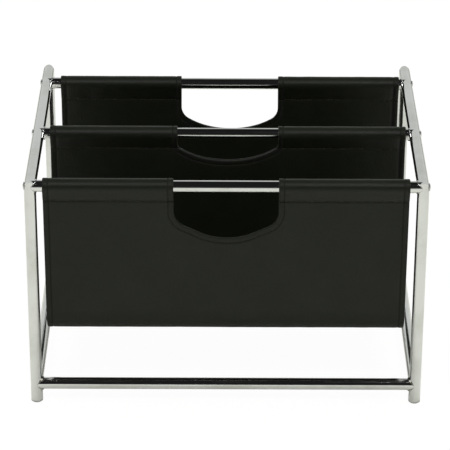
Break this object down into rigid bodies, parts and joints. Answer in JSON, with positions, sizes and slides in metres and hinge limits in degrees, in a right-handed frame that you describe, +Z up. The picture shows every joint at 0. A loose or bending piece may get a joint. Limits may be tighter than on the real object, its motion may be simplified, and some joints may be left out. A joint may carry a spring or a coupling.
{
  "type": "magazine rack",
  "caption": "Free-standing magazine rack: chromed round-tube frame with a black leather sling that hangs from cross bars in pockets, with a hand-hole at each bar.",
  "frame": {"origin": "on the floor under the middle of the frame's tubes", "axes": "+X to the right along the bars, +Y from front to back, +Z up"},
  "size_m": [0.4022, 0.3025, 0.2525],
  "materials": {
    "chromed_tube": "bright chrome plate",
    "black_leather": "fine grained, low sheen",
    "foot_plastic": "moulded, matte",
    "chromed_screw": "bright chrome plate",
    "insert_steel": "zinc plated"
  },
  "bodies": {
    "root": {"bar_inserts": "insert_steel", "bar_screws": "chromed_screw", "front_bottom_bar": "chromed_tube", "front_panel": "black_leather", "front_pocket_base": "black_leather", "front_top_bar": "chromed_tube", "left_bottom_rail": "chromed_tube", "left_front_foot": "foot_plastic", "left_front_leg": "chromed_tube", "left_rear_foot": "foot_plastic", "left_rear_leg": "chromed_tube", "left_top_rail": "chromed_tube", "middle_panel": "black_leather", "middle_top_bar": "chromed_tube", "rear_bottom_bar": "chromed_tube", "rear_panel": "black_leather", "rear_pocket_base": "black_leather", "rear_top_bar": "chromed_tube", "right_bottom_rail": "chromed_tube", "right_front_foot": "foot_plastic", "right_front_leg": "chromed_tube", "right_rear_foot": "foot_plastic", "right_rear_leg": "chromed_tube", "right_top_rail": "chromed_tube"}
  },
  "joints": []
}
